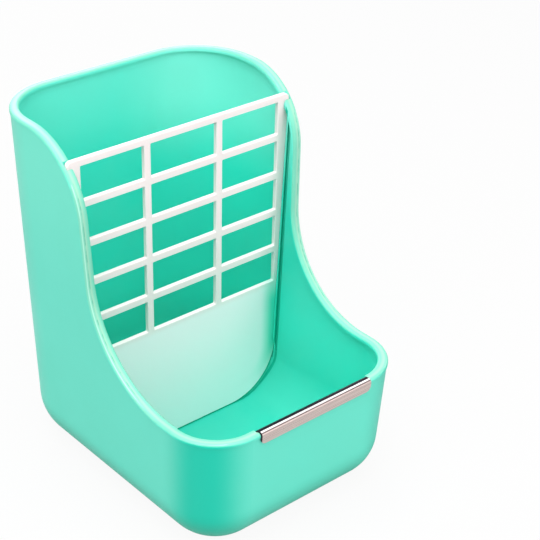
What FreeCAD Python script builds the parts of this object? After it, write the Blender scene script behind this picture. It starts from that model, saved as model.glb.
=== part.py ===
import FreeCAD, Part
import math
import os

import Sketcher

# Hay feeder for a small pet: a tall hopper and a low bowl in one moulding, a guard that slides down
# between them, a steel strip on the bowl's lip and a clamp that holds it to a wire cage wall.
# Frame: X across, Y from the bowl (minus) to the back wall (plus), Z up from the foot.

doc = FreeCAD.newDocument("HayFeeder")
sheet = doc.addObject("Spreadsheet::Sheet", "Dims")

# Driving dimensions, millimetres and degrees
dimensions = {
    # moulding: foot outline and walls
    "halfWidth": 55.4,
    "frontFoot": 84.6,
    "backFoot": 60.9,
    "sideDraft": 2.13,
    "frontDraft": 3.1,
    "frontCorner": 24.2,
    "backCorner": 31.6,
    "footRound": 21.5,
    "wall": 2.0,
    "floor": 2.4,
    # rim line, seen from the side
    "hopperHeight": 167.4,
    "cheekDepth": 9.6,
    "cheekLevel": 116.8,
    "cheekLean": 0.038,
    "bowlHeight": 60.8,
    "hopperRound": 34.0,
    "bowlRound": 48.0,
    # rim bead
    "beadWidth": 4.5,
    "beadBack": 3.2,
    "beadDepth": 2.0,
    "beadProud": 0.3,
    "beadRound": 1.2,
    # guide channels
    "ribThick": 1.2,
    "ribFoot": 24.0,
    "ribLead": 6.0,
    "ribTipFoot": 53.5,
    "ribTipTop": 59.3,
    "channelFoot": 19.0,
    "channelDepth": 0.9,
    "reliefWidth": 1.2,
    "reliefDepth": 0.9,
    "reliefEnd": 0.5,
    "slideGap": 0.3,
    # guard
    "guardFace": -0.3,
    "guardThick": 2.2,
    "guardTop": 158.7,
    "guardFootGap": 0.2,
    "guardLowCorner": 27.0,
    "guardTopCorner": 2.5,
    "barWidth": 3.4,
    "topBar": 3.2,
    "windowHeight": 15.7,
    "middleWindow": 35.6,
    "sideWindow": 32.1,
    "windowCorner": 0.4,
    "barRound": 0.4,
    "windowRows": 5,
    # steel strip
    "stripLength": 62.5,
    "stripShift": 1.5,
    "stripThick": 0.5,
    "stripAcross": 3.2,
    "stripFlange": 5.2,
    "stripInside": 4.6,
    "stripEndGap": 0.4,
    "stripCorner": 2.6,
    "stripGap": 0.05,
    # cage clamp
    "boltSpacing": 32.0,
    "boltLevel": 120.0,
    "hangerWidth": 18.0,
    "hangerTop": 134.0,
    "hangerFloor": 4.0,
    "hangerRound": 1.6,
    "headSeat": 61.7,
    "headThick": 4.0,
    "headFlats": 10.0,
    "headPlay": 0.3,
    "slotLip": 2.6,
    "shank": 6.0,
    "shankChamfer": 0.6,
    "wireGap": 4.5,
    "barThick": 3.6,
    "barHeight": 14.0,
    "barOverhang": 9.0,
    "barHole": 6.6,
    "barSoftEdge": 0.8,
    "washerOuter": 12.0,
    "washerHole": 6.4,
    "washerThick": 1.0,
    "nutBore": 6.1,
    "nutHub": 11.0,
    "nutHubTop": 8.4,
    "nutHeight": 7.6,
    "nutBand": 1.9,
    "nutSpan": 26.0,
    "wingThick": 2.4,
    "wingRise": 11.0,
    "wingRound": 1.6,
    # one wing's outline: heights over the nut's face, then distances from its axis
    "wingFoot": 1.3,
    "wingWaist": 3.4,
    "wingTip": 8.8,
    "wingSaddle": 6.8,
    "wingRoot": 4.4,
    "wingShoulder": 10.4,
    "wingTipInside": 9.4,
    "wingNeck": 3.4,
    # how far a cutting form reaches past what it cuts, and the length of one that passes through
    "reach": 10.0,
    "beyond": 240.0,
}
for row, (alias, value) in enumerate(dimensions.items(), start=1):
    sheet.set(f"A{row}", alias)
    sheet.set(f"B{row}", str(value))
    sheet.setAlias(f"B{row}", alias)
doc.recompute()


class Size:
    """A length that knows its number and the spreadsheet formula that it comes from."""

    def __init__(self, number, formula):
        self.number = number
        self.formula = formula

    def _join(self, other, sign, result):
        other = other if isinstance(other, Size) else Size(other, str(other))
        return Size(result(self.number, other.number), f"({self.formula} {sign} {other.formula})")

    def __add__(self, other):
        return self._join(other, "+", lambda a, b: a + b)

    def __sub__(self, other):
        return self._join(other, "-", lambda a, b: a - b)

    def __mul__(self, other):
        return self._join(other, "*", lambda a, b: a * b)

    def __truediv__(self, other):
        return self._join(other, "/", lambda a, b: a / b)

    def __neg__(self):
        return Size(-self.number, f"(0 - {self.formula})")


def size(alias):
    return Size(dimensions[alias], f"Dims.{alias}")


zero = Size(0.0, "0")


def slope_of(alias):
    """How far a face that leans by this angle moves out for each millimetre of height."""
    return Size(math.tan(math.radians(dimensions[alias])), f"tan(Dims.{alias} * 1 deg)")


side_draft = slope_of("sideDraft")
front_draft = slope_of("frontDraft")


def new_body(name):
    body = doc.addObject("PartDesign::Body", name)
    body.Label = name
    return body


def new_sketch(body, name, plane_role, offset=None):
    """A sketch on one of the body's own planes, moved along the plane's normal by offset."""
    sketch = body.newObject("Sketcher::SketchObject", name)
    plane = next(item for item in body.Origin.OriginFeatures if item.Role == plane_role)
    sketch.AttachmentSupport = [(plane, "")]
    sketch.MapMode = "FlatFace"
    if offset is not None:
        sketch.setExpression("AttachmentOffset.Base.z", offset.formula)
    return sketch


def fix_coordinate(sketch, kind, geometry, vertex, distance, name):
    """Hold one coordinate of a sketch point to a formula."""
    if abs(distance.number) < 1e-9:
        axis = -2 if kind == "DistanceX" else -1
        sketch.addConstraint(Sketcher.Constraint("PointOnObject", geometry, vertex, axis))
        return
    if distance.number > 0:
        constraint = Sketcher.Constraint(kind, -1, 1, geometry, vertex, distance.number)
    else:
        distance = -distance
        constraint = Sketcher.Constraint(kind, geometry, vertex, -1, 1, distance.number)
    index = sketch.addConstraint(constraint)
    sketch.renameConstraint(index, name)
    sketch.setExpression(f"Constraints.{name}", distance.formula)


def draw_polygon(sketch, corners):
    """A closed outline through corners given as pairs of sizes."""
    first = sketch.GeometryCount
    count = len(corners)
    for index in range(count):
        start = corners[index]
        end = corners[(index + 1) % count]
        line = Part.LineSegment(
            FreeCAD.Vector(start[0].number, start[1].number, 0),
            FreeCAD.Vector(end[0].number, end[1].number, 0),
        )
        sketch.addGeometry(line, False)
    for index in range(count):
        following = first + (index + 1) % count
        sketch.addConstraint(Sketcher.Constraint("Coincident", first + index, 2, following, 1))
    for index, (across, up) in enumerate(corners):
        fix_coordinate(sketch, "DistanceX", first + index, 1, across, f"x{first + index}")
        fix_coordinate(sketch, "DistanceY", first + index, 1, up, f"y{first + index}")


def draw_rectangle(sketch, left, right, low, high):
    draw_polygon(sketch, [(left, low), (right, low), (right, high), (left, high)])


def draw_circle(sketch, across, up, radius):
    index = sketch.addGeometry(
        Part.Circle(FreeCAD.Vector(across.number, up.number, 0), FreeCAD.Vector(0, 0, 1), radius.number),
        False,
    )
    fix_coordinate(sketch, "DistanceX", index, 3, across, f"x{index}")
    fix_coordinate(sketch, "DistanceY", index, 3, up, f"y{index}")
    constraint = sketch.addConstraint(Sketcher.Constraint("Radius", index, radius.number))
    sketch.renameConstraint(constraint, f"radius{index}")
    sketch.setExpression(f"Constraints.radius{index}", radius.formula)


def pad(body, name, sketch, length, both_sides=False, reverse=False):
    feature = body.newObject("PartDesign::Pad", name)
    feature.Profile = sketch
    feature.Length = length.number
    feature.setExpression("Length", length.formula)
    feature.Midplane = both_sides
    feature.Reversed = reverse
    doc.recompute()
    return feature


def pocket(body, name, sketch, length, both_sides=False, reverse=False):
    """A cut that has to take material away."""
    before = body.Shape.Volume
    feature = body.newObject("PartDesign::Pocket", name)
    feature.Profile = sketch
    feature.Length = length.number
    feature.setExpression("Length", length.formula)
    feature.Midplane = both_sides
    feature.Reversed = reverse
    doc.recompute()
    if feature.Shape.Volume > before - 1.0:
        raise RuntimeError(f"{name} cuts nothing")
    return feature


def edges_where(shape, wanted):
    return [f"Edge{n}" for n, edge in enumerate(shape.Edges, start=1) if wanted(edge)]


def fillet(body, name, base, wanted, radius):
    feature = body.newObject("PartDesign::Fillet", name)
    feature.Base = (base, edges_where(base.Shape, wanted))
    feature.Radius = radius.number
    feature.setExpression("Radius", radius.formula)
    doc.recompute()
    return feature


def is_straight(edge):
    return isinstance(edge.Curve, Part.Line) or isinstance(edge.Curve, Part.LineSegment)


def runs_along(edge, axis):
    """True for a straight edge within about four degrees of an axis."""
    if not is_straight(edge):
        return False
    direction = edge.tangentAt(edge.FirstParameter)
    return abs(getattr(direction, axis)) > 0.9975


def lies_at(edge, axis, value, slack=0.01):
    box = edge.BoundBox
    low = getattr(box, axis + "Min")
    high = getattr(box, axis + "Max")
    return abs(low - value) < slack and abs(high - value) < slack


# Feeder body

def tub(name, grow, level, round_foot, back_grow=None):
    """The block with leaning sides and rounded corners that the walls are cut from, grown by grow."""
    body = new_body(name)
    top = size("hopperHeight") + size("reach")
    side = new_sketch(body, name + "_side", "YZ_Plane")
    front = size("frontFoot") + grow
    back = size("backFoot") + (back_grow or grow)
    draw_polygon(side, [
        (-(front + front_draft * level), level),
        (back, level),
        (back, top),
        (-(front + front_draft * top), top),
    ])
    block = pad(body, name + "_block", side, size("beyond"), both_sides=True)
    # the sides lean out: two wedges are cut away from the block
    half = size("halfWidth") + grow
    beyond = size("beyond")
    below = level - size("reach")
    above = top + size("reach")
    front_view = new_sketch(body, name + "_front", "XZ_Plane")
    for sign in (1.0, -1.0):
        draw_polygon(front_view, [
            ((half + side_draft * below) * sign, below),
            (beyond * sign, below),
            (beyond * sign, above),
            ((half + side_draft * above) * sign, above),
        ])
    tapered = pocket(body, name + "_tapered", front_view, size("beyond"), both_sides=True)
    tall = size("hopperHeight").number

    def stands_at_front(edge):
        return edge.BoundBox.ZLength > tall and edge.CenterOfMass.y < 0

    def stands_at_back(edge):
        return edge.BoundBox.ZLength > tall and edge.CenterOfMass.y > 0

    front_corners = fillet(body, name + "_front_corners", tapered, stands_at_front,
                           size("frontCorner") + grow)
    corners = fillet(body, name + "_back_corners", front_corners, stands_at_back,
                     size("backCorner") + grow)
    if round_foot:
        fillet(body, name + "_foot", corners, lambda edge: lies_at(edge, "Z", level.number),
               size("footRound"))
    return body


def rim_prism(name, drop):
    """Everything under the rim line, lowered square to the line by drop."""
    far = size("reach") * 3.0
    back = size("backFoot") + far
    front = -(size("frontFoot") + far)
    lean = size("cheekLean")
    bowl = size("bowlHeight") - drop
    top = size("hopperHeight") - drop
    # the cheek line leans forward as it goes down
    cheek = drop - size("cheekDepth") - lean * size("cheekLevel")
    cheek_y = cheek + lean * top
    bend_y = cheek + lean * bowl
    low = -size("reach")
    body = new_body(name)
    side = new_sketch(body, name + "_side", "YZ_Plane")
    draw_polygon(side, [
        (front, low),
        (back, low),
        (back, top),
        (cheek_y, top),
        (bend_y, bowl),
        (front, bowl),
    ])
    block = pad(body, name + "_block", side, size("beyond"), both_sides=True)

    def passes(edge, y, z):
        return abs(edge.CenterOfMass.y - y) < 0.01 and abs(edge.CenterOfMass.z - z) < 0.01

    shoulder = fillet(body, name + "_shoulder", block,
                      lambda edge: passes(edge, cheek_y.number, top.number),
                      size("hopperRound") - drop)
    fillet(body, name + "_sweep", shoulder,
           lambda edge: passes(edge, bend_y.number, bowl.number),
           size("bowlRound") + drop)
    return body


def boolean(kind, name, base, tool):
    result = doc.addObject(f"Part::{kind}", name)
    result.Base = base
    result.Tool = tool
    doc.recompute()
    return result


def guard_middle():
    return size("guardFace") + size("guardThick") / 2.0


def guide_ribs(name):
    """A rib on each side wall round the guard's plane, cut through later by the channel."""
    body = new_body(name)
    depth = size("guardThick") + size("slideGap") * 2.0 + size("ribThick") * 2.0
    foot = size("ribFoot")
    top = size("hopperHeight")
    # the outer side of each rib ends inside the side wall
    inside_wall = size("halfWidth") - size("wall") / 2.0
    front_view = new_sketch(body, name + "_front", "XZ_Plane", -guard_middle())
    for side in (1.0, -1.0):
        draw_polygon(front_view, [
            (size("ribTipFoot") * side, foot + size("ribLead")),
            ((inside_wall + side_draft * foot) * side, foot),
            ((inside_wall + side_draft * top) * side, top),
            (size("ribTipTop") * side, top),
        ])
    pad(body, name + "_block", front_view, depth, both_sides=True)
    return body


def relief_lines(name):
    """A narrow groove in each side wall along the front of its rib."""
    body = new_body(name)
    foot = size("ribFoot")
    top = size("hopperHeight")
    wall_face = size("halfWidth") - size("wall")
    rib_face = size("guardFace") - size("slideGap") - size("ribThick")
    front_view = new_sketch(body, name + "_front", "XZ_Plane", -rib_face)
    for side in (1.0, -1.0):
        draw_polygon(front_view, [
            ((wall_face + side_draft * foot - size("reliefDepth")) * side, foot),
            ((wall_face + side_draft * foot + size("reliefDepth")) * side, foot),
            ((wall_face + side_draft * top + size("reliefDepth")) * side, top),
            ((wall_face + side_draft * top - size("reliefDepth")) * side, top),
        ])
    pad(body, name + "_block", front_view, size("reliefWidth"))
    return body


def guard_half_width(level):
    """Half the width of the guard at a height: it stays clear of the channel's bottom."""
    wall_face = size("halfWidth") + side_draft * level - size("wall")
    return wall_face + size("channelDepth") - size("slideGap")


def guard_channel(name):
    """The slot that the guard drops down, sunk into both side walls and open at the top."""
    body = new_body(name)
    foot = size("channelFoot")
    top = size("hopperHeight") + size("reach")
    front_view = new_sketch(body, name + "_front", "XZ_Plane", -guard_middle())
    gap = size("slideGap")
    draw_polygon(front_view, [
        (-(guard_half_width(foot) + gap), foot),
        (guard_half_width(foot) + gap, foot),
        (guard_half_width(top) + gap, top),
        (-(guard_half_width(top) + gap), top),
    ])
    pad(body, name + "_block", front_view, size("guardThick") + gap * 2.0, both_sides=True)
    return body


def hanger_face():
    return size("headSeat") + size("headThick") + size("headPlay") + size("slotLip")


def hangers(name):
    """Two blocks outside the back wall, each with a T-slot for a bolt head, open at the top."""
    body = new_body(name)
    half = size("hangerWidth") / 2.0
    centre = size("boltSpacing") / 2.0
    low = size("boltLevel") - size("headFlats") / 2.0 - size("headPlay") - size("hangerFloor")
    root = size("backFoot") - size("wall") / 2.0
    plan = new_sketch(body, name + "_plan", "XY_Plane", low)
    for side in (1.0, -1.0):
        draw_rectangle(plan, centre * side - half, centre * side + half, root, hanger_face())
    block = pad(body, name + "_block", plan, size("hangerTop") - low)
    fillet(body, name + "_corners", block,
           lambda edge: runs_along(edge, "z") and edge.CenterOfMass.y > root.number + 1,
           size("hangerRound"))
    slot = new_sketch(body, name + "_slot", "XY_Plane", low + size("hangerFloor"))
    # the head's corners stand out sideways
    head = size("headFlats") / math.sqrt(3.0) + size("headPlay")
    neck = size("shank") / 2.0 + size("headPlay")
    seat = size("headSeat") - size("headPlay")
    lip = hanger_face() - size("slotLip")
    beyond = hanger_face() + size("reach")
    for side in (1.0, -1.0):
        middle = centre * side
        draw_polygon(slot, [
            (middle - head, seat),
            (middle + head, seat),
            (middle + head, lip),
            (middle + neck, lip),
            (middle + neck, beyond),
            (middle - neck, beyond),
            (middle - neck, lip),
            (middle - head, lip),
        ])
    pocket(body, name + "_cut", slot, size("hangerTop"), reverse=True)
    return body


def rounded_rim(name, base):
    """Rounds both edges of the rim's top, all the way round."""
    def is_rim(face):
        surface = face.Surface
        if isinstance(surface, Part.Cylinder):
            radii = (size("hopperRound").number, size("bowlRound").number)
            return abs(surface.Axis.x) > 0.999 and any(abs(surface.Radius - r) < 1e-3 for r in radii)
        if not isinstance(surface, Part.Plane) or abs(surface.Axis.x) > 1e-3:
            return False
        box = face.BoundBox
        # the rim's flat stretches lie above the bowl and face up, or forward on the cheeks
        normal = face.normalAt(*face.Surface.parameter(face.CenterOfMass))
        faces_forward = normal.y < -0.99 and face.CenterOfMass.y < 0
        return box.ZMin > size("bowlHeight").number - 0.5 and (normal.z > 0.5 or faces_forward)

    counts = {}
    for face in base.Shape.Faces:
        if is_rim(face):
            for edge in face.Edges:
                counts.setdefault(edge.hashCode(), []).append(edge)
    radius = size("beadRound").number
    chosen = []
    for index, edge in enumerate(base.Shape.Edges, start=1):
        if len(counts.get(edge.hashCode(), [])) == 1:
            chosen.append((index, radius, radius))
    result = doc.addObject("Part::Fillet", name)
    result.Base = base
    result.Edges = chosen
    doc.recompute()
    return result


def strip_front(level):
    """Where the inside of the strip's front leg stands."""
    return -(size("frontFoot") + front_draft * level + size("beadProud") + size("stripGap"))


def recess_face(level):
    """The inner side of the lip under the strip."""
    return strip_front(level) + size("stripAcross") - size("stripGap")


def lip_recess(name):
    """Thins the bead under the steel strip, with a bevel that clears the strip's inner fold."""
    body = new_body(name)
    rim = size("bowlHeight")
    bevel = size("beadRound")
    margin = size("beadDepth")
    low = rim - size("beadDepth") - margin
    high = rim + margin
    far = strip_front(rim) + size("stripAcross") + size("reach")
    side = new_sketch(body, name + "_side", "YZ_Plane")
    draw_polygon(side, [
        (recess_face(low), low),
        (far, low),
        (far, high),
        (recess_face(rim) - bevel - margin, high),
        (recess_face(rim - bevel), rim - bevel),
    ])
    pad(body, name + "_block", side, size("stripLength") + size("stripEndGap") * 2.0, both_sides=True)
    body.setExpression("Placement.Base.x", "Dims.stripShift")
    return body


def feeder_body():
    wall = size("wall")
    outer = tub("outer_form", zero, zero, True)
    inner = tub("inner_form", -wall, size("floor"), True)
    proud = tub("bead_outer_form", size("beadProud"), zero, False)
    throat = tub("bead_inner_form", -size("beadWidth"), zero, False, back_grow=-size("beadBack"))
    under_rim = rim_prism("under_rim", zero)
    under_bead = rim_prism("under_bead", size("beadDepth"))
    shell = boolean("Cut", "shell", outer, inner)
    ring = boolean("Cut", "bead_ring", proud, throat)
    band = boolean("Cut", "bead_band", under_rim, under_bead)
    bead = boolean("Common", "bead", ring, band)
    open_shell = boolean("Common", "open_shell", shell, under_rim)
    with_bead = boolean("Fuse", "with_bead", open_shell, bead)
    with_bead.Refine = True
    doc.recompute()
    rim = rounded_rim("rounded_rim", with_bead)
    lip = boolean("Cut", "thinned_lip", rim, lip_recess("lip_recess"))
    rib_cap = rim_prism("under_rib_tops", size("beadRound"))
    ribs = boolean("Common", "trimmed_ribs", guide_ribs("guide_ribs"), rib_cap)
    ribbed = boolean("Fuse", "ribbed", lip, ribs)
    slotted = boolean("Cut", "slotted", ribbed, guard_channel("guard_channel"))
    # the grooves end under the bead
    groove_cap = rim_prism("under_groove_ends", size("beadDepth") + size("reliefEnd"))
    grooves = boolean("Common", "trimmed_grooves", relief_lines("relief_lines"), groove_cap)
    relieved = boolean("Cut", "relieved", slotted, grooves)
    complete = boolean("Fuse", "feeder_body", relieved, hangers("hangers"))
    complete.Label = "feeder_body"
    return complete


# Hay guard

def hay_guard():
    """White lattice of three by five windows over a solid panel with rounded lower corners."""
    body = new_body("hay_guard")
    foot = size("floor") + size("guardFootGap")
    top = size("guardTop")
    face = new_sketch(body, "guard_outline", "XZ_Plane", -size("guardFace"))
    draw_polygon(face, [
        (-guard_half_width(foot), foot),
        (guard_half_width(foot), foot),
        (guard_half_width(top), top),
        (-guard_half_width(top), top),
    ])
    thick = size("guardThick")
    slab = pad(body, "guard_slab", face, thick, reverse=True)
    low_corners = fillet(body, "guard_low_corners", slab,
                         lambda edge: runs_along(edge, "y") and edge.CenterOfMass.z < top.number / 2,
                         size("guardLowCorner"))
    corners = fillet(body, "guard_top_corners", low_corners,
                     lambda edge: runs_along(edge, "y") and edge.CenterOfMass.z > top.number / 2,
                     size("guardTopCorner"))
    windows = new_sketch(body, "guard_windows", "XZ_Plane", -size("guardFace"))
    high = top - size("topBar")
    low = high - size("windowHeight")
    middle = size("middleWindow") / 2.0
    near = middle + size("barWidth")
    far = near + size("sideWindow")
    draw_rectangle(windows, -middle, middle, low, high)
    draw_rectangle(windows, near, far, low, high)
    draw_rectangle(windows, -far, -near, low, high)
    row = pocket(body, "guard_window_row", windows, size("reach"), both_sides=True)
    rows = body.newObject("PartDesign::LinearPattern", "guard_window_rows")
    rows.Originals = [row]
    rows.Direction = (windows, ["V_Axis"])
    rows.Reversed = True
    pitch = size("windowHeight") + size("barWidth")
    rows.setExpression("Occurrences", "Dims.windowRows")
    rows.setExpression("Length", (pitch * (size("windowRows") - 1.0)).formula)
    body.Tip = rows
    doc.recompute()
    window_side = far.number + size("windowCorner").number
    above_panel = top.number - (pitch * size("windowRows")).number - size("topBar").number

    def is_window_corner(edge):
        middle_point = edge.CenterOfMass
        within = abs(middle_point.x) < window_side and middle_point.z > above_panel
        return within and runs_along(edge, "y")

    rounded = fillet(body, "guard_window_corners", rows, is_window_corner, size("windowCorner"))
    front = size("guardFace").number
    back = front + thick.number
    fillet(body, "guard_soft_edges", rounded,
           lambda edge: lies_at(edge, "Y", front) or lies_at(edge, "Y", back), size("barRound"))
    return body


# Steel strip folded over the bowl's front lip

def lip_guard():
    body = new_body("lip_guard")
    gap = size("stripGap")
    thick = size("stripThick")
    top = size("bowlHeight") + gap
    front_low = size("bowlHeight") - size("stripFlange")
    back_low = size("bowlHeight") - size("stripInside")
    across = size("stripAcross")
    profile = new_sketch(body, "strip_profile", "YZ_Plane")
    draw_polygon(profile, [
        (strip_front(front_low), front_low),
        (strip_front(top), top),
        (strip_front(top) + across, top),
        (strip_front(back_low) + across, back_low),
        (strip_front(back_low) + across + thick, back_low),
        (strip_front(top) + across + thick, top + thick),
        (strip_front(top) - thick, top + thick),
        (strip_front(front_low) - thick, front_low),
    ])
    folded = pad(body, "strip_folded", profile, size("stripLength"), both_sides=True)
    body.setExpression("Placement.Base.x", "Dims.stripShift")
    inner_fold = fillet(body, "strip_inner_folds", folded,
                        lambda edge: runs_along(edge, "x") and lies_at(edge, "Z", top.number),
                        size("beadRound") - gap)
    outer_fold = fillet(body, "strip_outer_folds", inner_fold,
                        lambda edge: runs_along(edge, "x") and lies_at(edge, "Z", (top + thick).number),
                        size("beadRound") + thick - gap)

    def is_corner(edge):
        return runs_along(edge, "y") and edge.CenterOfMass.z < (top - size("beadRound")).number

    fillet(body, "strip_corners", outer_fold, is_corner, size("stripCorner"))
    return body


# Cage clamp

def bar_face():
    return hanger_face() + size("wireGap")


def washer_face():
    return bar_face() + size("barThick")


def nut_face():
    return washer_face() + size("washerThick")


def clamp_bar():
    body = new_body("clamp_bar")
    half = size("boltSpacing") / 2.0 + size("barOverhang")
    rise = size("barHeight") / 2.0
    level = size("boltLevel")
    plan = new_sketch(body, "bar_outline", "XZ_Plane", -bar_face())
    draw_rectangle(plan, -half, half, level - rise, level + rise)
    block = pad(body, "bar_block", plan, size("barThick"), reverse=True)
    fillet(body, "bar_ends", block, lambda edge: runs_along(edge, "y"), rise - size("barSoftEdge"))
    holes = new_sketch(body, "bar_holes", "XZ_Plane", -bar_face())
    for side in (1.0, -1.0):
        draw_circle(holes, size("boltSpacing") / 2.0 * side, level, size("barHole") / 2.0)
    drilled = pocket(body, "bar_drilled", holes, size("reach"), both_sides=True)
    faces = (bar_face().number, washer_face().number)

    def is_outline(edge):
        round_hole = isinstance(edge.Curve, Part.Circle) and edge.isClosed()
        return not round_hole and any(lies_at(edge, "Y", face) for face in faces)

    fillet(body, "bar_soft_edges", drilled, is_outline, size("barSoftEdge"))
    return body


def hexagon(flats):
    """Corners of a hexagon round the sketch's origin, with flats above and below."""
    reach = flats / 2.0
    corner = reach / (math.sqrt(3.0) / 2.0)
    return [
        (corner, zero),
        (corner / 2.0, reach),
        (-corner / 2.0, reach),
        (-corner, zero),
        (-corner / 2.0, -reach),
        (corner / 2.0, -reach),
    ]


def put_on_bolt(body, side, face):
    """Stand a piece that is made round its own Y axis on one of the bolts."""
    body.setExpression("Placement.Base.x", (size("boltSpacing") / 2.0 * side).formula)
    body.setExpression("Placement.Base.y", face.formula)
    body.setExpression("Placement.Base.z", size("boltLevel").formula)


def cage_bolt(name, side):
    body = new_body(name)
    head_outline = new_sketch(body, name + "_hexagon", "XZ_Plane")
    draw_polygon(head_outline, hexagon(size("headFlats")))
    pad(body, name + "_head", head_outline, size("headThick"), reverse=True)
    # the tip reaches as far back as the steel strip reaches to the front
    reach = size("stripThick") - strip_front(size("bowlHeight"))
    tip = reach - size("headSeat")
    shank_outline = new_sketch(body, name + "_circle", "XZ_Plane")
    draw_circle(shank_outline, zero, zero, size("shank") / 2.0)
    shank = pad(body, name + "_shank", shank_outline, tip, reverse=True)
    chamfer = body.newObject("PartDesign::Chamfer", name + "_tip")
    chamfer.Base = (shank, edges_where(shank.Shape, lambda edge: lies_at(edge, "Y", tip.number)))
    chamfer.setExpression("Size", "Dims.shankChamfer")
    put_on_bolt(body, side, size("headSeat"))
    return body


def washer(name, side):
    body = new_body(name)
    ring = new_sketch(body, name + "_rings", "XZ_Plane")
    draw_circle(ring, zero, zero, size("washerOuter") / 2.0)
    draw_circle(ring, zero, zero, size("washerHole") / 2.0)
    pad(body, name + "_disc", ring, size("washerThick"), reverse=True)
    put_on_bolt(body, side, washer_face())
    return body


def wing_nut(name, side):
    body = new_body(name)
    height = size("nutHeight")
    base = size("nutHub") / 2.0
    crown = size("nutHubTop") / 2.0
    section = new_sketch(body, name + "_section", "XY_Plane")
    draw_polygon(section, [
        (zero, zero),
        (base, zero),
        (base, size("nutBand")),
        (crown, height),
        (zero, height),
    ])
    hub = body.newObject("PartDesign::Revolution", name + "_hub")
    hub.Profile = section
    hub.ReferenceAxis = (section, ["V_Axis"])
    hub.Angle = 360.0
    wings = new_sketch(body, name + "_wing_outline", "YZ_Plane")
    one_wing = [
        (size("wingFoot"), size("wingRoot")),
        (size("wingWaist"), size("wingShoulder")),
        (size("wingTip"), size("nutSpan") / 2.0),
        (size("wingRise"), size("wingTipInside")),
        (size("wingSaddle"), size("wingNeck")),
    ]
    mirrored = [(height_over_face, -from_axis) for height_over_face, from_axis in one_wing]
    draw_polygon(wings, mirrored + one_wing[::-1])
    grips = pad(body, name + "_wings", wings, size("wingThick"), both_sides=True)
    root = size("wingRoot").number
    fillet(body, name + "_wing_tips", grips,
           lambda edge: runs_along(edge, "x") and abs(edge.CenterOfMass.z) > root + 1,
           size("wingRound"))
    bore = new_sketch(body, name + "_bore_circle", "XZ_Plane")
    draw_circle(bore, zero, zero, size("nutBore") / 2.0)
    pocket(body, name + "_bore", bore, size("reach") * 2.0, both_sides=True)
    put_on_bolt(body, side, nut_face())
    return body


pieces = [feeder_body(), hay_guard(), lip_guard(), clamp_bar()]
for place, side in (("left", -1.0), ("right", 1.0)):
    pieces.append(cage_bolt(f"cage_bolt_{place}", side))
    pieces.append(washer(f"washer_{place}", side))
    pieces.append(wing_nut(f"wing_nut_{place}", side))
doc.recompute()

for item in doc.Objects:
    if "Invalid" in item.State or "Error" in item.State:
        raise RuntimeError(f"{item.Name} did not compute: {item.State}")
os.makedirs("parts", exist_ok=True)
for piece in pieces:
    shape = piece.Shape
    if shape.isNull() or not shape.isValid():
        raise RuntimeError(f"{piece.Label} has no valid shape")
    shape.exportStep(f"parts/{piece.Label}.step")
    print(f"{piece.Label}: {len(shape.Solids)} solid, {shape.Volume:.0f} mm3")
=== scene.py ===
import math

import bmesh
import bpy
from mathutils import Matrix, Vector


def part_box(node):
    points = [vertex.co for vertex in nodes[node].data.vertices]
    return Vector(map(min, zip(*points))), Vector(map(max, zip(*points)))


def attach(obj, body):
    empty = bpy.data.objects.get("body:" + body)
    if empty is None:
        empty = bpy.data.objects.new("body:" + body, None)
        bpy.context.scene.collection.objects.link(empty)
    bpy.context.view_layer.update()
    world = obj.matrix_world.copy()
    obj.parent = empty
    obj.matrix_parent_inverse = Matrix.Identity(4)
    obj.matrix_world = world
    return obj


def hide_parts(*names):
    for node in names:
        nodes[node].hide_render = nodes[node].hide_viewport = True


# Hay feeder for a small pet: turquoise moulding, white slide-in guard, steel strip on the bowl's lip
# and a screw clamp behind. Metres, +X across, -Y the bowl's side, +Z up.

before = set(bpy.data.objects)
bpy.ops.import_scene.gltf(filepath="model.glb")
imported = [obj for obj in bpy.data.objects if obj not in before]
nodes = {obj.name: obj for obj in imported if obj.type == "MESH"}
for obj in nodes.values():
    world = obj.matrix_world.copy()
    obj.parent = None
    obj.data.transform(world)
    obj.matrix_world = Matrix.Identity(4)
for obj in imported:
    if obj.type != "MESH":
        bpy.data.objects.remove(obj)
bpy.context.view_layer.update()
print("frame loaded,", len(nodes), "nodes")


# Small helpers for node trees

def newMaterial(name):
    material = bpy.data.materials.new(name)
    material.use_nodes = True
    material.node_tree.nodes.clear()
    return material


def addNode(tree, kind, x, y, **values):
    # values: plain settings of the node, or sockets by their name.
    node = tree.nodes.new(kind)
    node.location = (x, y)
    for key, value in values.items():
        setattr(node, key, value)
    return node


def math2(tree, operation, first, second, x, y, clamp=False):
    # A Math node; first and second are sockets or numbers.
    node = addNode(tree, "ShaderNodeMath", x, y, operation=operation, use_clamp=clamp)
    for index, value in enumerate((first, second)):
        if value is None:
            continue
        if isinstance(value, (int, float)):
            node.inputs[index].default_value = value
        else:
            tree.links.new(value, node.inputs[index])
    return node.outputs[0]


def spread(tree, value, low, high, x, y, outLow=0.0, outHigh=1.0):
    # A smooth step of a value from low to high.
    node = addNode(tree, "ShaderNodeMapRange", x, y, interpolation_type="SMOOTHSTEP")
    tree.links.new(value, node.inputs["Value"])
    node.inputs["From Min"].default_value = low
    node.inputs["From Max"].default_value = high
    node.inputs["To Min"].default_value = outLow
    node.inputs["To Max"].default_value = outHigh
    return node.outputs["Result"]


def mixColour(tree, amount, first, second, x, y, blend="MIX"):
    # Colours and the amount are sockets or plain values.
    node = addNode(tree, "ShaderNodeMix", x, y, data_type="RGBA", blend_type=blend)
    for index, value in ((0, amount), (6, first), (7, second)):
        if isinstance(value, bpy.types.NodeSocket):
            tree.links.new(value, node.inputs[index])
        elif isinstance(value, (int, float)):
            node.inputs[index].default_value = value
        else:
            node.inputs[index].default_value = (*value, 1.0)
    return node.outputs[2]


# Shared effect: the skin of a moulded part, with fine grain, slow waviness and a cloudy mottle

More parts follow.
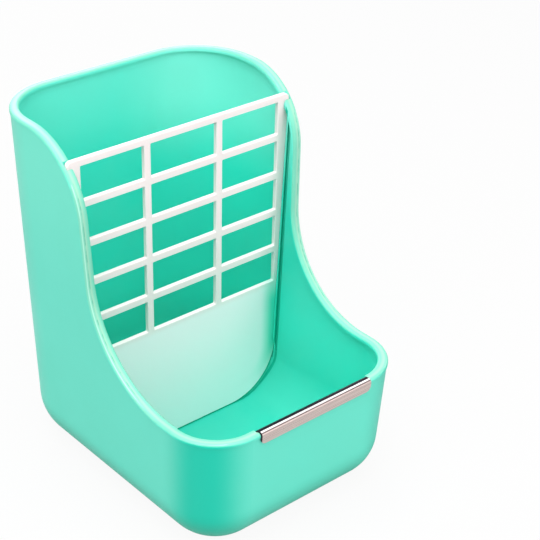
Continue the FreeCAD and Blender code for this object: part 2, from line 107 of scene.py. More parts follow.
def buildMouldedSkin():
    group = bpy.data.node_groups.new("mouldedSkin", "ShaderNodeTree")
    for name, value in (("Grain Size", 900.0), ("Grain Depth", 0.05), ("Waviness", 0.04),
                        ("Mottle Size", 28.0)):
        socket = group.interface.new_socket(name, in_out="INPUT", socket_type="NodeSocketFloat")
        socket.default_value = value
    group.interface.new_socket("Mottle", in_out="OUTPUT", socket_type="NodeSocketFloat")
    group.interface.new_socket("Normal", in_out="OUTPUT", socket_type="NodeSocketVector")
    source = addNode(group, "NodeGroupInput", -900, 0)
    result = addNode(group, "NodeGroupOutput", 700, 0)
    coords = addNode(group, "ShaderNodeTexCoord", -900, 300)
    grain = addNode(group, "ShaderNodeTexNoise", -600, 300)
    grain.inputs["Detail"].default_value = 3.0
    wave = addNode(group, "ShaderNodeTexNoise", -600, 0)
    wave.inputs["Scale"].default_value = 34.0
    wave.inputs["Detail"].default_value = 1.5
    cloud = addNode(group, "ShaderNodeTexNoise", -600, -300)
    cloud.inputs["Detail"].default_value = 4.0
    cloud.inputs["Roughness"].default_value = 0.6
    for node in (grain, wave, cloud):
        group.links.new(coords.outputs["Object"], node.inputs["Vector"])
    group.links.new(source.outputs["Grain Size"], grain.inputs["Scale"])
    group.links.new(source.outputs["Mottle Size"], cloud.inputs["Scale"])
    fine = addNode(group, "ShaderNodeBump", -100, 300)
    fine.inputs["Distance"].default_value = 0.0001
    group.links.new(source.outputs["Grain Depth"], fine.inputs["Strength"])
    group.links.new(grain.outputs["Fac"], fine.inputs["Height"])
    slow = addNode(group, "ShaderNodeBump", 200, 200)
    slow.inputs["Distance"].default_value = 0.002
    group.links.new(source.outputs["Waviness"], slow.inputs["Strength"])
    group.links.new(wave.outputs["Fac"], slow.inputs["Height"])
    group.links.new(fine.outputs["Normal"], slow.inputs["Normal"])
    group.links.new(slow.outputs["Normal"], result.inputs["Normal"])
    group.links.new(cloud.outputs["Fac"], result.inputs["Mottle"])
    return group


mouldedSkin = buildMouldedSkin()


def placeSkin(tree, x, y, grainSize, grainDepth, waviness, mottleSize):
    node = addNode(tree, "ShaderNodeGroup", x, y, node_tree=mouldedSkin)
    node.inputs["Grain Size"].default_value = grainSize
    node.inputs["Grain Depth"].default_value = grainDepth
    node.inputs["Waviness"].default_value = waviness
    node.inputs["Mottle Size"].default_value = mottleSize
    return node


def wearOnNode(node, material):
    mesh = node.data
    mesh.materials.clear()
    mesh.materials.append(material)


# Feeder body

feederLook = {
    # the bowl's inside is painted darker towards its floor, painted shade
    "floorColour": (0.028, 0.60, 0.46),
    "insideColour": (0.040, 0.78, 0.61),
    "topLitColour": (0.125, 0.86, 0.69),     # painted light: the hopper's inside near its rim, painted lighter
    "rightLitColour": (0.20, 0.89, 0.73),   # and more so on its right half
    "outsideSheenColour": (0.125, 0.80, 0.62),   # the flat outer walls' colour, with a whitish sheen painted in
    "outsideLitHigh": (0.165, 0.86, 0.66),
    "cornerShadeColour": (0.001, 0.60, 0.43),    # painted shade on the outer corners and, darker, on the foot
    "footShadeColour": (0.001, 0.50, 0.345),
    # the bead, painted lighter where light falls on it, with a painted highlight on its crest
    "beadLitColour": (0.21, 0.70, 0.52),
    "beadHighlightColour": (0.36, 0.72, 0.54),
    "beadEdgeHighlight": (0.50, 0.86, 0.70),        # a painted highlight: the thin line along the bead's outer corner
    # painted shade in the relief grooves and along the guard
    "grooveShadeColour": (0.001, 0.42, 0.28),
    "roughness": 0.36,
    "roughnessSpread": 0.10,
    "grainSize": 1500.0,
    "grainDepth": 0.25,
    "waviness": 0.06,
    "mottleSize": 30.0,
    # the moulding's outer form, as in the solid
    "halfWidth": 0.0554,
    "frontFoot": 0.0846,
    "backFoot": 0.0609,
    "frontCorner": 0.0242,
    "backCorner": 0.0316,
    "footRound": 0.0215,
    "sideLean": 0.0372,
    "frontLean": 0.0542,
    "bowlRim": 0.0608,
    "beadWidth": 0.0045,
    "gate": (0.0, -0.012, 0.0),
    "channel": (-0.0031, -0.0019),        # the relief groove, front and back
    "gloomNear": (0.0, 0.0017),           # where the shaded line before the guard starts, low and high
    "gloomFar": (0.0009, 0.0033),         # and where it ends
    "specular": 0.32,
}


def leaned(tree, value, z, lean, offset, x, y):
    # value less offset, less what a leaning wall has moved out at height z.
    moved = math2(tree, "MULTIPLY", z, lean, x, y)
    rest = math2(tree, "SUBTRACT", value, moved, x + 200, y)
    return math2(tree, "SUBTRACT", rest, offset, x + 400, y)


def depthInCorner(tree, across, along, radius, x, y):
    # How far inside a form with one rounded corner a point lies.
    place = addNode(tree, "ShaderNodeCombineXYZ", x, y)
    tree.links.new(across, place.inputs[0])
    tree.links.new(along, place.inputs[1])
    past = addNode(tree, "ShaderNodeVectorMath", x + 200, y, operation="MAXIMUM")
    tree.links.new(place.outputs[0], past.inputs[0])
    distance = addNode(tree, "ShaderNodeVectorMath", x + 400, y, operation="LENGTH")
    tree.links.new(past.outputs[0], distance.inputs[0])
    return math2(tree, "SUBTRACT", radius, distance.outputs["Value"], x + 600, y)


def between(tree, value, low, high, soft, x, y):
    # A mask: 1 from low to high.
    rising = spread(tree, value, low - soft, low + soft, x, y)
    falling = spread(tree, value, high + soft, high - soft, x, y - 250)
    return math2(tree, "MULTIPLY", rising, falling, x + 200, y)


def feederPlastic():
    look = feederLook
    material = newMaterial("turquoisePlastic")
    tree = material.node_tree
    coords = addNode(tree, "ShaderNodeTexCoord", -3000, 0)
    place = addNode(tree, "ShaderNodeSeparateXYZ", -2800, 0)
    tree.links.new(coords.outputs["Object"], place.inputs[0])
    x, y, z = place.outputs
    facing = addNode(tree, "ShaderNodeSeparateXYZ", -2800, -300)
    tree.links.new(coords.outputs["Normal"], facing.inputs[0])
    up = facing.outputs[2]
    ahead = math2(tree, "MULTIPLY", facing.outputs[1], -1.0, -2600, -300)
    wide = math2(tree, "ABSOLUTE", x, None, -2600, 200)
    toFront = math2(tree, "MULTIPLY", y, -1.0, -2600, 0)
    frontAcross = leaned(tree, wide, z, look["sideLean"],
                         look["halfWidth"] - look["frontCorner"], -2400, 600)
    frontAlong = leaned(tree, toFront, z, look["frontLean"],
                        look["frontFoot"] - look["frontCorner"], -2400, 400)
    backAcross = leaned(tree, wide, z, look["sideLean"],
                        look["halfWidth"] - look["backCorner"], -2400, 200)
    backAlong = math2(tree, "SUBTRACT", y, look["backFoot"] - look["backCorner"], -2400, 0)
    depth = math2(tree, "MINIMUM",
                  depthInCorner(tree, frontAcross, frontAlong, look["frontCorner"], -1800, 500),
                  depthInCorner(tree, backAcross, backAlong, look["backCorner"], -1800, 200),
                  -1000, 300)
    fromSide = math2(tree, "SUBTRACT", look["footRound"], depth, -1800, 1200)
    fromFoot = math2(tree, "SUBTRACT", look["footRound"], z, -1800, 1000)
    depth = depthInCorner(tree, fromSide, fromFoot, look["footRound"], -1600, 1200)
    outside = spread(tree, depth, 0.0009, 0.0005, -800, 300)
    # painted shade on the outer front corners and the foot
    inCorner = math2(tree, "MINIMUM", math2(tree, "SUBTRACT", frontAcross, 0.002, -1800, 900),
                     math2(tree, "ADD", frontAlong, 0.003, -1800, 700), -1600, 800)
    corner = spread(tree, inCorner, -0.004, 0.0150, -1400, 800)
    foot = spread(tree, z, 0.024, 0.005, -1400, 1000)
    # the bead, painted lighter as lit: what faces up or, on the cheeks, forward, no further in than the
    # bead is wide
    inBead = between(tree, depth, -0.0008, look["beadWidth"] + 0.0004, 0.0003, -800, 0)
    overBowl = spread(tree, z, look["bowlRim"] - 0.0010, look["bowlRim"] - 0.0002, -1400, -200)
    facesUp = spread(tree, up, 0.20, 0.50, -1400, -400)
    onCheek = between(tree, y, -look["frontFoot"], look["channel"][0] - 0.0010, 0.0005, -1400, -600)
    facesAhead = math2(tree, "MULTIPLY", spread(tree, ahead, 0.20, 0.50, -1400, -1000), onCheek,
                       -1000, -600)
    litBead = math2(tree, "MULTIPLY", math2(tree, "MAXIMUM", facesUp, facesAhead, -800, -500),
                 math2(tree, "MULTIPLY", inBead, overBowl, -600, -200), -400, -300)
    # a painted highlight along the bead's crest
    crest = math2(tree, "MULTIPLY", litBead, between(tree, depth, 0.0012, 0.0026, 0.0007, -800, -1800),
                  -400, -1700)
    # on the cheeks a painted highlight runs along the bead's outer corner, and a broken painted shadow line
    # under its lip beside it
    cheekBead = math2(tree, "MULTIPLY", litBead, facesAhead, -600, -3300)
    edge = math2(tree, "MULTIPLY", cheekBead, between(tree, depth, 0.00035, 0.00075, 0.0002, -800, -3300),
                 -400, -3300)
    chips = addNode(tree, "ShaderNodeTexNoise", -1000, -3800)
    chips.inputs["Scale"].default_value = 260.0
    tree.links.new(coords.outputs["Object"], chips.inputs["Vector"])
    lipShadowDashes = math2(tree, "MULTIPLY", between(tree, depth, 0.00135, 0.0017, 0.0002, -800, -3600),
                  spread(tree, chips.outputs["Fac"], 0.42, 0.62, -800, -3900, 0.15, 0.75), -400, -3600)
    lipShadowDashes = math2(tree, "MULTIPLY", lipShadowDashes, cheekBead, -200, -3600)
    # painted shade in the relief grooves sunk into the side walls, and a painted shaded line from them down
    # round the guard
    sunk = between(tree, depth, 0.0008, 0.00185, 0.0001, -800, -800)
    atGuard = between(tree, y, look["channel"][0], look["channel"][1], 0.0001, -800, -1300)
    grooveShade = math2(tree, "MULTIPLY", sunk, atGuard, -400, -900)
    near = spread(tree, z, 0.010, 0.020, -1200, -2600, look["gloomNear"][0], look["gloomNear"][1])
    far = spread(tree, z, 0.005, 0.021, -1200, -2300, look["gloomFar"][0], look["gloomFar"][1])
    pastNear = spread(tree, math2(tree, "SUBTRACT", toFront, near, -1000, -2600), -0.0002, 0.0001,
                      -800, -2600)
    beforeFar = spread(tree, math2(tree, "SUBTRACT", far, toFront, -1000, -2300), -0.0002, 0.0003,
                       -800, -2300)
    gloom = math2(tree, "MULTIPLY", pastNear, beforeFar, -200, -2400)
    gloom = math2(tree, "MULTIPLY", gloom, spread(tree, depth, 0.0015, 0.0020, -400, -2100),
                  0, -2300)
    grooveShade = math2(tree, "MAXIMUM", grooveShade, gloom, 200, -2000)
    grooveShade = math2(tree, "MULTIPLY", grooveShade, spread(tree, litBead, 0.6, 0.1, 200, -1700), 400, -1800)
    skin = placeSkin(tree, -300, -1300, look["grainSize"], look["grainDepth"],
                     look["waviness"], look["mottleSize"])
    # painted light: the inside lighter near its rim and more so on its right half
    high = spread(tree, z, 0.120, 0.162, -400, 600)
    # painted shade: the inside darker towards its floor
    inner = mixColour(tree, spread(tree, z, 0.004, 0.050, -400, 800), look["floorColour"],
                      look["insideColour"], -300, 600)
    inner = mixColour(tree, high, inner, look["topLitColour"], -200, 600)
    litRight = math2(tree, "MULTIPLY", spread(tree, z, 0.105, 0.150, -600, 900),
                     spread(tree, x, 0.004, 0.040, -600, 1100), -400, 1000)
    inner = mixColour(tree, litRight, inner, look["rightLitColour"], -100, 700)
    # painted sheen on the outer walls, painted lighter towards the top
    outer = mixColour(tree, spread(tree, z, 0.085, 0.160, -600, 400), look["outsideSheenColour"],
                      look["outsideLitHigh"], -400, 300)
    outer = mixColour(tree, corner, outer, look["cornerShadeColour"], -300, 300)
    outer = mixColour(tree, foot, outer, look["footShadeColour"], -200, 300)
    shade = mixColour(tree, outside, inner, outer, 0, 400)
    # the mottle fades where the corners and foot are painted with shade
    thick = math2(tree, "MULTIPLY", math2(tree, "MAXIMUM", corner, foot, -400, -1000), outside,
                  -200, -1000)
    mottle = math2(tree, "MULTIPLY", spread(tree, skin.outputs["Mottle"], 0.35, 0.7, 0, -1000, 0.0, 0.10),
                   spread(tree, thick, 1.0, 0.3, 0, -1200), 100, -1000)
    shade = mixColour(tree, mottle, shade, look["beadLitColour"], 200, 400)
    shade = mixColour(tree, litBead, shade, look["beadLitColour"], 400, 300)
    shade = mixColour(tree, crest, shade, look["beadHighlightColour"], 500, 300)
    shade = mixColour(tree, edge, shade, look["beadEdgeHighlight"], 520, 500)
    shade = mixColour(tree, lipShadowDashes, shade, look["grooveShadeColour"], 560, 700)
    shade = mixColour(tree, grooveShade, shade, look["grooveShadeColour"], 600, 200)
    rough = spread(tree, skin.outputs["Mottle"], 0.3, 0.7, 300, -250,
                   look["roughness"], look["roughness"] + look["roughnessSpread"])
    # the gate's mark under the base: a ring round a small broken-off pip
    toGate = addNode(tree, "ShaderNodeVectorMath", -600, -4200, operation="DISTANCE")
    tree.links.new(coords.outputs["Object"], toGate.inputs[0])
    toGate.inputs[1].default_value = look["gate"]
    fromGate = toGate.outputs["Value"]
    ring = between(tree, fromGate, 0.0046, 0.0052, 0.0003, -400, -4200)
    pip = spread(tree, fromGate, 0.0016, 0.0010, -400, -4700)
    mark = math2(tree, "MULTIPLY", math2(tree, "SUBTRACT", pip, ring, -100, -4200),
                 spread(tree, z, 0.0012, 0.0006, -100, -4500), 0, -4200)
    relief = addNode(tree, "ShaderNodeBump", 200, -4200)
    relief.inputs["Distance"].default_value = 0.0004
    tree.links.new(mark, relief.inputs["Height"])
    tree.links.new(skin.outputs["Normal"], relief.inputs["Normal"])
    shader = addNode(tree, "ShaderNodeBsdfPrincipled", 900, 0)
    tree.links.new(shade, shader.inputs["Base Color"])
    tree.links.new(rough, shader.inputs["Roughness"])
    tree.links.new(relief.outputs["Normal"], shader.inputs["Normal"])
    shader.inputs["Specular IOR Level"].default_value = look["specular"]
    output = addNode(tree, "ShaderNodeOutputMaterial", 1200, 0)
    tree.links.new(shader.outputs[0], output.inputs["Surface"])
    return material


wearOnNode(nodes["feeder_body"], feederPlastic())
print("feeder body dressed")


# Hay guard

guardLook = {
    "colour": (0.98, 0.865, 0.86),
    "panelColour": (1.0, 0.97, 0.99),     # the solid panel is thicker and looks cooler
    "greenReflectionColour": (0.07, 0.76, 0.58),    # a painted reflection of the moulding's green at the panel's sides
    "roughness": 0.30,
    "roughnessSpread": 0.10,
    "grainSize": 1700.0,
    "grainDepth": 0.2,
    "waviness": 0.04,
    "mottleSize": 24.0,
    "panelTop": 0.0634,
    "halfWidth": 0.0550,
    "corner": 0.027,
    "foot": 0.0026,
}


def guardPlastic():
    look = guardLook
    material = newMaterial("whitePlastic")
    tree = material.node_tree
    coords = addNode(tree, "ShaderNodeTexCoord", -1500, 0)
    place = addNode(tree, "ShaderNodeSeparateXYZ", -1300, 0)
    tree.links.new(coords.outputs["Object"], place.inputs[0])
    x, y, z = place.outputs
    skin = placeSkin(tree, -300, -300, look["grainSize"], look["grainDepth"],
                     look["waviness"], look["mottleSize"])

    # a painted reflection: the moulding's green painted into the panel towards its sides and round its
    # lower corners
    wide = math2(tree, "ABSOLUTE", x, None, -1100, 0)
    across = math2(tree, "SUBTRACT", wide, look["halfWidth"] - look["corner"], -1100, 200)
    down = math2(tree, "SUBTRACT", look["foot"] + look["corner"], z, -1100, 400)
    inside = depthInCorner(tree, across, down, look["corner"], -900, 300)
    nearEdge = spread(tree, inside, 0.0105, 0.0015, -300, 300)
    atSide = spread(tree, wide, 0.028, 0.046, -300, 100)
    onPanel = math2(tree, "MULTIPLY",
                    spread(tree, z, look["panelTop"] + 0.010, look["panelTop"] - 0.012, -500, 600),
                    spread(tree, z, 0.006, 0.030, -500, 450), -300, 500)
    greenReflection = math2(tree, "MULTIPLY", nearEdge, atSide, -100, 300)
    greenReflection = math2(tree, "MULTIPLY", greenReflection, onPanel, 0, 300)
    # a painted green reflection along the very edge low down, over its shade
    edgeReflection = math2(tree, "MULTIPLY", spread(tree, inside, 0.0006, 0.0002, -300, 900),
                spread(tree, z, 0.028, 0.020, -300, 1100), -100, 900)
    greenReflection = math2(tree, "MAXIMUM", greenReflection, edgeReflection, 50, 300)
    panel = spread(tree, z, look["panelTop"] + 0.001, look["panelTop"] - 0.004, -300, 700)
    shade = mixColour(tree, panel, look["colour"], look["panelColour"], -100, 500)
    shade = mixColour(tree, greenReflection, shade, look["greenReflectionColour"], 0, 100)
    rough = spread(tree, skin.outputs["Mottle"], 0.3, 0.7, 0, -250,
                   look["roughness"], look["roughness"] + look["roughnessSpread"])
    shader = addNode(tree, "ShaderNodeBsdfPrincipled", 400, 0)
    tree.links.new(shade, shader.inputs["Base Color"])
    tree.links.new(rough, shader.inputs["Roughness"])
    tree.links.new(skin.outputs["Normal"], shader.inputs["Normal"])
    output = addNode(tree, "ShaderNodeOutputMaterial", 700, 0)
    tree.links.new(shader.outputs[0], output.inputs["Surface"])
    return material


wearOnNode(nodes["hay_guard"], guardPlastic())
print("hay guard dressed")


# Shared effect: rolled or brushed metal, streaked along one axis

def buildStreaks():
    group = bpy.data.node_groups.new("rolledStreaks", "ShaderNodeTree")
    for name, value in (("Along", 30.0), ("Across", 2600.0), ("Depth", 0.3)):
        socket = group.interface.new_socket(name, in_out="INPUT", socket_type="NodeSocketFloat")
        socket.default_value = value
    group.interface.new_socket("Streak", in_out="OUTPUT", socket_type="NodeSocketFloat")
    group.interface.new_socket("Normal", in_out="OUTPUT", socket_type="NodeSocketVector")
    source = addNode(group, "NodeGroupInput", -900, 0)
    result = addNode(group, "NodeGroupOutput", 500, 0)
    coords = addNode(group, "ShaderNodeTexCoord", -900, 300)
    stretch = addNode(group, "ShaderNodeCombineXYZ", -700, 0)
    group.links.new(source.outputs["Along"], stretch.inputs["X"])
    group.links.new(source.outputs["Across"], stretch.inputs["Y"])
    group.links.new(source.outputs["Across"], stretch.inputs["Z"])
    scaled = addNode(group, "ShaderNodeVectorMath", -500, 200, operation="MULTIPLY")
    group.links.new(coords.outputs["Object"], scaled.inputs[0])
    group.links.new(stretch.outputs[0], scaled.inputs[1])
    streak = addNode(group, "ShaderNodeTexNoise", -300, 200)
    streak.inputs["Scale"].default_value = 1.0
    streak.inputs["Detail"].default_value = 4.0
    group.links.new(scaled.outputs[0], streak.inputs["Vector"])
    bump = addNode(group, "ShaderNodeBump", 100, 200)
    bump.inputs["Distance"].default_value = 0.00005
    group.links.new(source.outputs["Depth"], bump.inputs["Strength"])
    group.links.new(streak.outputs["Fac"], bump.inputs["Height"])
    group.links.new(streak.outputs["Fac"], result.inputs["Streak"])
    group.links.new(bump.outputs["Normal"], result.inputs["Normal"])
    return group


rolledStreaks = buildStreaks()


def metal(name, look):
    material = newMaterial(name)
    tree = material.node_tree
    streaks = addNode(tree, "ShaderNodeGroup", -500, 0, node_tree=rolledStreaks)
    streaks.inputs["Along"].default_value = look["along"]
    streaks.inputs["Across"].default_value = look["across"]
    streaks.inputs["Depth"].default_value = look["depth"]
    tone = spread(tree, streaks.outputs["Streak"], 0.3, 0.7, -250, 150)
    shade = mixColour(tree, tone, look["darkColour"], look["colour"], 0, 150)
    rough = spread(tree, streaks.outputs["Streak"], 0.3, 0.7, 0, -100,
                   look["roughness"], look["roughness"] + look["roughnessSpread"])
    shader = addNode(tree, "ShaderNodeBsdfPrincipled", 300, 0)
    shader.inputs["Metallic"].default_value = 1.0
    tree.links.new(shade, shader.inputs["Base Color"])
    tree.links.new(rough, shader.inputs["Roughness"])
    tree.links.new(streaks.outputs["Normal"], shader.inputs["Normal"])
    output = addNode(tree, "ShaderNodeOutputMaterial", 600, 0)
    tree.links.new(shader.outputs[0], output.inputs["Surface"])
    return material


# Steel strip on the lip

stripLook = {
    "colour": (0.66, 0.535, 0.505),
    "darkColour": (0.56, 0.455, 0.43),
    # a painted highlight, and a painted dark reflection and shadow
    "highlightColour": (0.97, 0.95, 0.95),
    "darkReflectionAndShadeColour": (0.015, 0.012, 0.02),
    "bendColour": (0.20, 0.14, 0.14),
    "roughness": 0.24,
    "roughnessSpread": 0.12,
    "specular": 0.2,
    "along": 20.0,
    "across": 3000.0,
    "depth": 0.3,
    # across the fold, from the bowl's side to the front
    "lineBack": -0.08500,
    "lineFront": -0.08714,
    "brightFront": -0.08797,
    "bendFront": -0.08835,
    "endLine": (-0.02935, -0.02915),
    "foldTop": 0.0596,
}


def stripSteel():
    look = stripLook
    material = newMaterial("stripSteel")
    tree = material.node_tree
    streaks = addNode(tree, "ShaderNodeGroup", -900, 0, node_tree=rolledStreaks)
    streaks.inputs["Along"].default_value = look["along"]
    streaks.inputs["Across"].default_value = look["across"]
    streaks.inputs["Depth"].default_value = look["depth"]
    coords = addNode(tree, "ShaderNodeTexCoord", -1300, 300)
    place = addNode(tree, "ShaderNodeSeparateXYZ", -1100, 300)
    tree.links.new(coords.outputs["Object"], place.inputs[0])
    x, y, z = place.outputs
    tone = spread(tree, streaks.outputs["Streak"], 0.3, 0.7, -650, 150)
    shade = mixColour(tree, tone, look["darkColour"], look["colour"], -400, 150)
    # painted highlight along the fold's top, a thin dark line along the front bend, a painted dark
    # reflection across the bowl's side of the fold and a painted shadow line at the left end
    onFold = spread(tree, z, look["foldTop"] - 0.0003, look["foldTop"] + 0.0003, -900, 600)
    paintedHighlight = math2(tree, "MULTIPLY", onFold,
                   spread(tree, y, look["brightFront"] - 0.0001, look["brightFront"] + 0.0001, -900, 400),
                   -700, 500)
    bend = math2(tree, "MULTIPLY", onFold,
                 between(tree, y, look["bendFront"], look["brightFront"], 0.00008, -900, 900), -600, 800)
    line = between(tree, y, look["lineFront"], look["lineBack"], 0.0001, -900, 1300)
    line = math2(tree, "MAXIMUM", line, spread(tree, x, look["endLine"][1], look["endLine"][0], -600, 1500),
                 -400, 1300)
    shade = mixColour(tree, paintedHighlight, shade, look["highlightColour"], -200, 200)
    shade = mixColour(tree, bend, shade, look["bendColour"], 0, 250)
    shade = mixColour(tree, line, shade, look["darkReflectionAndShadeColour"], 200, 300)
    rough = spread(tree, streaks.outputs["Streak"], 0.3, 0.7, 0, -100,
                   look["roughness"], look["roughness"] + look["roughnessSpread"])
    shader = addNode(tree, "ShaderNodeBsdfPrincipled", 500, 0)
    # non-metal where the painted highlight and the painted dark reflection lie, so they keep their painted
    # colour
    plainUnderPaintedLines = spread(tree, math2(tree, "MAXIMUM", paintedHighlight, line, 200, 0), 0.0, 1.0, 350, -50, 1.0, 0.2)
    shader.inputs["Specular IOR Level"].default_value = look["specular"]
    tree.links.new(plainUnderPaintedLines, shader.inputs["Metallic"])
    tree.links.new(shade, shader.inputs["Base Color"])
    tree.links.new(rough, shader.inputs["Roughness"])
    tree.links.new(streaks.outputs["Normal"], shader.inputs["Normal"])
    output = addNode(tree, "ShaderNodeOutputMaterial", 800, 0)
    tree.links.new(shader.outputs[0], output.inputs["Surface"])
    return material


wearOnNode(nodes["lip_guard"], stripSteel())
print("lip strip dressed")


# Cage clamp: bar, bolts, washers and wing nuts

barLook = {
    "colour": (0.85, 0.84, 0.82),
    "roughness": 0.42,
    "grainSize": 1400.0,
    "grainDepth": 0.5,
    "waviness": 0.05,
    "mottleSize": 60.0,
}
zincLook = {
    "colour": (0.72, 0.74, 0.76),
    "darkColour": (0.46, 0.48, 0.50),
    "roughness": 0.24,
    "roughnessSpread": 0.18,
    "along": 260.0,
    "across": 260.0,
    "depth": 0.4,
}


def barPlastic():
    look = barLook
    material = newMaterial("barPlastic")
    tree = material.node_tree
    skin = placeSkin(tree, -300, -100, look["grainSize"], look["grainDepth"],
                     look["waviness"], look["mottleSize"])
    dull = mixColour(tree, spread(tree, skin.outputs["Mottle"], 0.3, 0.7, -100, 100, 0.0, 0.25),
                     look["colour"], (0.66, 0.66, 0.64), 100, 100)
    shader = addNode(tree, "ShaderNodeBsdfPrincipled", 300, 0)
    tree.links.new(dull, shader.inputs["Base Color"])
    tree.links.new(skin.outputs["Normal"], shader.inputs["Normal"])
    shader.inputs["Roughness"].default_value = look["roughness"]
    output = addNode(tree, "ShaderNodeOutputMaterial", 600, 0)
    tree.links.new(shader.outputs[0], output.inputs["Surface"])
    return material


boltShape = {
    "headThick": 0.0040,
    "headFlats": 0.0100,
    "headFace": 0.0048,      # the flat inside the turned chamfer
    "headBlank": 0.0062,
    "headDrop": 0.0008,
    "crest": 0.0030,
    "root": 0.0024,
    "pitch": 0.0010,
    "plain": 0.0022,         # smooth shank under the head
    "runOut": 0.0006,
    "steps": 36,
    "thread": ((0.0, 0.0), (0.18, 0.0), (0.50, 1.0), (0.68, 1.0)),     # along a pitch, root to crest
}
upright = Vector((0.0, 0.0, 1.0))


def lineOf(bm, spots):
    line = [bm.verts.new(spot) for spot in spots]
    return line + [bm.edges.new(pair) for pair in zip(line, line[1:])]


def cutAt(bm, parts, height, **side):
    # cuts across the axis and gives the edges of the cut
    cut = bmesh.ops.bisect_plane(bm, geom=parts, plane_co=upright * height, plane_no=upright, **side)
    return [part for part in cut["geom_cut"] if isinstance(part, bmesh.types.BMEdge)]


def boltHead(bm):
    # a turned blank with its chamfer, six flats cut off it, and open where the shank joins
    look = boltShape
    blank, thick = look["headBlank"], look["headThick"]
    outline = lineOf(bm, ((0, 0, 0), (look["headFace"], 0, 0), (blank, 0, look["headDrop"]),
                          (blank, 0, thick), (0, 0, thick)))
    bmesh.ops.spin(bm, geom=outline, cent=(0, 0, 0), axis=upright, angle=math.tau,
                   steps=look["steps"], use_merge=True)
    bmesh.ops.remove_doubles(bm, verts=bm.verts, dist=1e-6)
    for side in range(6):
        outwards = Matrix.Rotation(math.radians(30 + 60 * side), 3, "Z") @ Vector((1.0, 0.0, 0.0))
        cut = bmesh.ops.bisect_plane(bm, geom=bm.verts[:] + bm.edges[:] + bm.faces[:],
                                     plane_co=outwards * look["headFlats"] / 2, plane_no=outwards,
                                     clear_outer=True)
        edges = [part for part in cut["geom_cut"] if isinstance(part, bmesh.types.BMEdge)]
        bmesh.ops.holes_fill(bm, edges=edges, sides=0)
    under = [face for face in bm.faces if face.calc_center_median().z > thick - 1e-6]
    bmesh.ops.delete(bm, geom=under, context="FACES")


def boltShank(bm, tip):
    # a thread line spun while it climbs one pitch, cut square at both ends
    look = boltShape
    crest, root, pitch = look["crest"], look["root"], look["pitch"]
    start = look["headThick"] + look["plain"]
    head = set(bm.verts)
    headLoop = [edge for edge in bm.edges if edge.is_boundary]
    turns = math.ceil((tip - start) / pitch) + 2
    spots = [(root + (crest - root) * rise, 0.0, start + pitch * (turn - 1 + along))
             for turn in range(turns) for along, rise in look["thread"]]
    bmesh.ops.spin(bm, geom=lineOf(bm, spots), cent=(0, 0, 0), axis=upright, angle=math.tau,
                   dvec=upright * pitch / look["steps"], steps=look["steps"])
    bmesh.ops.remove_doubles(bm, verts=[vert for vert in bm.verts if vert not in head], dist=1e-6)

    def threadParts():
        parts = [vert for vert in bm.verts if vert not in head]
        for group in (bm.edges, bm.faces):
            parts += [part for part in group if part.verts[0] not in head]
        return parts

    startLoop = cutAt(bm, threadParts(), start, clear_inner=True)
    tipLoop = cutAt(bm, threadParts(), tip, clear_outer=True)
    for vert in bm.verts:
        if vert in head:
            continue
        radius = math.hypot(vert.co.x, vert.co.y)
        wanted = radius + (crest - radius) * max(0.0, 1.0 - (vert.co.z - start) / look["runOut"])
        wanted = min(wanted, root + tip - vert.co.z)
        vert.co.xy *= wanted / radius
    bmesh.ops.holes_fill(bm, edges=tipLoop, sides=0)
    plain = bmesh.ops.extrude_edge_only(bm, edges=startLoop)["geom"]
    foot = [part for part in plain if isinstance(part, bmesh.types.BMVert)]
    bmesh.ops.translate(bm, verts=foot, vec=upright * (look["headThick"] - start))
    footLoop = [part for part in plain if isinstance(part, bmesh.types.BMEdge) and part.is_boundary]
    bmesh.ops.bridge_loops(bm, edges=headLoop + footLoop)
    bmesh.ops.remove_doubles(bm, verts=bm.verts, dist=2e-5)
    bmesh.ops.dissolve_degenerate(bm, edges=bm.edges, dist=2e-5)
    bmesh.ops.recalc_face_normals(bm, faces=bm.faces)
    for face in bm.faces:
        face.smooth = face.calc_center_median().z > start and abs(face.normal.z) < 0.95


def threadedBolt(place):
    low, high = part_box("cage_bolt_" + place)
    bm = bmesh.new()
    boltHead(bm)
    boltShank(bm, high[1] - low[1])
    mesh = bpy.data.meshes.new("threadedBolt_" + place)
    bm.to_mesh(mesh)
    bm.free()
    seat = Vector(((low[0] + high[0]) / 2, low[1], (low[2] + high[2]) / 2))
    mesh.transform(Matrix.Translation(seat) @ Matrix.Rotation(math.radians(-90), 4, "X"))
    bolt = bpy.data.objects.new("threadedBolt_" + place, mesh)
    bpy.context.scene.collection.objects.link(bolt)
    return bolt


zinc = metal("zincPlate", zincLook)
wearOnNode(nodes["clamp_bar"], barPlastic())
for place in ("left", "right"):
    for kind in ("washer_", "wing_nut_"):
        wearOnNode(nodes[kind + place], zinc)
    bolt = threadedBolt(place)
    bolt.data.materials.append(zinc)
    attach(bolt, "bolts")
    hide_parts("cage_bolt_" + place)
print("clamp dressed")


# Floor, light and camera

stageSet = {
    "floorSize": 6.0,
    "floorColour": (0.60, 0.60, 0.60),
    "floorGlow": 0.93,
    "worldStrength": 0.16,
    "shineStrength": 0.4,
    "lamps": {
        "leftLamp": {"place": (-0.80, -0.15, 0.95), "size": 0.9, "power": 7.9},
        "frontLamp": {"place": (0.45, -1.1, 0.55), "size": 0.9, "power": 4.9},
        "topLamp": {"place": (0.0, 0.05, 1.25), "size": 0.9, "power": 11.0},
        "slopeLamp": {"place": (-0.25, -0.75, 1.05), "size": 0.9, "power": 5.8},
        "backLamp": {"place": (0.45, 1.15, 0.55), "size": 0.9, "power": 7.0},
    },
    "aim": (0.0, -0.01, 0.07),
    "cameraPlace": (-0.34223, -0.44290, 0.40861),
    "cameraAim": (0.05549, 0.00485, 0.06597),
    "cameraRoll": 1.473,
    "focal": 95.36,
}


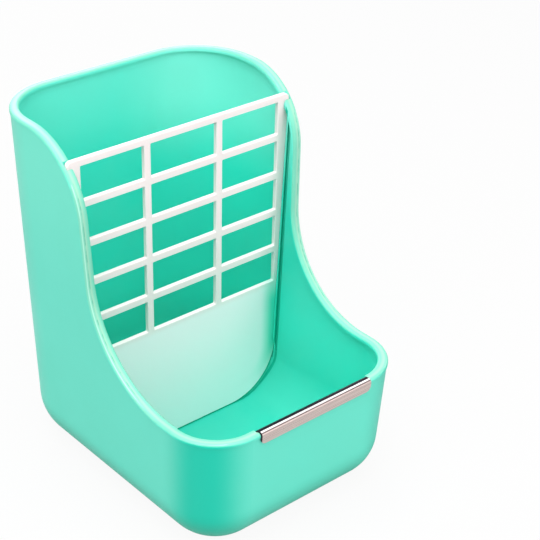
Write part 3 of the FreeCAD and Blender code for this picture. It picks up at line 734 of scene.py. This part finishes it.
def paleFloor():
    bm = bmesh.new()
    bmesh.ops.create_grid(bm, x_segments=1, y_segments=1, size=stageSet["floorSize"] / 2)
    mesh = bpy.data.meshes.new("paleFloor")
    bm.to_mesh(mesh)
    bm.free()
    floor = bpy.data.objects.new("paleFloor", mesh)
    bpy.context.scene.collection.objects.link(floor)
    material = newMaterial("paleFloor")
    tree = material.node_tree
    matte = addNode(tree, "ShaderNodeBsdfDiffuse", -200, 0)
    matte.inputs["Color"].default_value = (*stageSet["floorColour"], 1.0)
    glow = addNode(tree, "ShaderNodeEmission", -200, -150)
    path = addNode(tree, "ShaderNodeLightPath", -600, 200)
    seen = math2(tree, "MULTIPLY", path.outputs["Is Camera Ray"], stageSet["floorGlow"], -400, 200)
    mirrored = math2(tree, "MULTIPLY", path.outputs["Is Glossy Ray"], stageSet["shineStrength"], -400, 50)
    amount = math2(tree, "MAXIMUM", seen, mirrored, 0, 200)
    mixed = addNode(tree, "ShaderNodeMixShader", 200, 0)
    tree.links.new(amount, mixed.inputs[0])
    tree.links.new(matte.outputs[0], mixed.inputs[1])
    tree.links.new(glow.outputs[0], mixed.inputs[2])
    output = addNode(tree, "ShaderNodeOutputMaterial", 400, 0)
    tree.links.new(mixed.outputs[0], output.inputs["Surface"])
    mesh.materials.append(material)


def paleWorld():
    world = bpy.data.worlds.new("paleWorld")
    bpy.context.scene.world = world
    world.use_nodes = True
    tree = world.node_tree
    tree.nodes.clear()
    path = addNode(tree, "ShaderNodeLightPath", -600, 0)
    shine = spread(tree, path.outputs["Is Glossy Ray"], 0.0, 1.0, -400, 0,
                   stageSet["worldStrength"], stageSet["shineStrength"])
    strength = math2(tree, "MAXIMUM", shine, path.outputs["Is Camera Ray"], -200, 0)
    sky = addNode(tree, "ShaderNodeBackground", 0, 0)
    tree.links.new(strength, sky.inputs["Strength"])
    output = addNode(tree, "ShaderNodeOutputWorld", 200, 0)
    tree.links.new(sky.outputs[0], output.inputs["Surface"])


def softLamp(name, lamp):
    light = bpy.data.lights.new(name, "AREA")
    light.shape = "SQUARE"
    light.size = lamp["size"]
    light.energy = lamp["power"]
    holder = bpy.data.objects.new(name, light)
    holder.location = lamp["place"]
    towards = Vector(stageSet["aim"]) - Vector(lamp["place"])
    holder.rotation_euler = towards.to_track_quat("-Z", "Y").to_euler()
    bpy.context.scene.collection.objects.link(holder)


def placeCamera():
    lens = bpy.data.cameras.new("viewCamera")
    lens.sensor_fit = "HORIZONTAL"
    lens.sensor_width = 36.0
    lens.lens = stageSet["focal"]
    lens.clip_start = 0.01
    camera = bpy.data.objects.new("viewCamera", lens)
    camera.location = stageSet["cameraPlace"]
    towards = Vector(stageSet["cameraAim"]) - Vector(stageSet["cameraPlace"])
    turn = towards.to_track_quat("-Z", "Y").to_matrix()
    roll = Matrix.Rotation(math.radians(stageSet["cameraRoll"]), 3, "Z")
    camera.rotation_euler = (turn @ roll).to_euler()
    bpy.context.scene.collection.objects.link(camera)
    bpy.context.scene.camera = camera


paleFloor()
paleWorld()
for name, lamp in stageSet["lamps"].items():
    softLamp(name, lamp)
placeCamera()
bpy.context.scene.view_settings.view_transform = "Standard"
print("floor, light and camera set")
